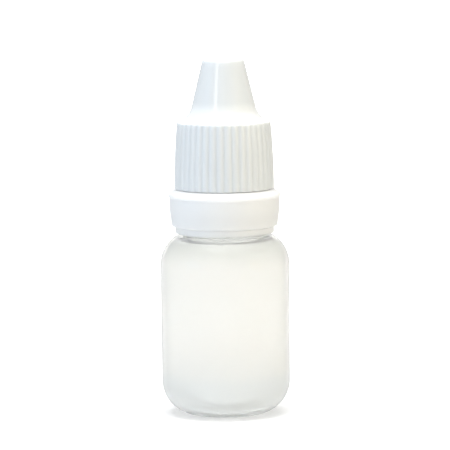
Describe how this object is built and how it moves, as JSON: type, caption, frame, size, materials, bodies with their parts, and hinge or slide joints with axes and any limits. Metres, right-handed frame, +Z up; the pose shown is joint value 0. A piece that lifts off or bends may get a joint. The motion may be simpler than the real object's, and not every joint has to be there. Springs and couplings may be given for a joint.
{
  "type": "eye drop bottle",
  "caption": "Small squeezable dropper bottle: round blown body, drip nozzle, ribbed screw cap with a tall cone, and a tamper ring on the neck.",
  "frame": {"origin": "middle of the base, on the surface that the bottle stands on", "axes": "+Z up along the bottle's own axis, from the base to the cap's cone; X and Y are alike, because every piece is round"},
  "size_m": [0.025, 0.025, 0.0689],
  "materials": {
    "natural_polyethylene": "translucent natural low-density polyethylene, satin, milky",
    "tip_polyethylene": "natural low-density polyethylene, thicker and milkier than the body, satin",
    "ring_plastic": "white moulded polypropylene, smooth, half gloss",
    "cap_plastic": "white moulded polypropylene, smooth cone and ribbed skirt, half gloss"
  },
  "bodies": {
    "bottle": {"bottle": "natural_polyethylene", "dropper_tip": "tip_polyethylene"},
    "tamper_ring": {"tamper_ring": "ring_plastic"},
    "cap": {"cap": "cap_plastic"}
  },
  "joints": [
    {"name": "cap_turn", "type": "hinge", "parent": "bottle", "child": "tamper_ring", "pos_m": [0, 0, 0.0395], "axis": [0, 0, 1], "range_deg": [0, 720]},
    {"name": "cap_lift", "type": "slide", "parent": "tamper_ring", "child": "cap", "axis": [0, 0, 1], "range_m": [0, 0.03]}
  ]
}
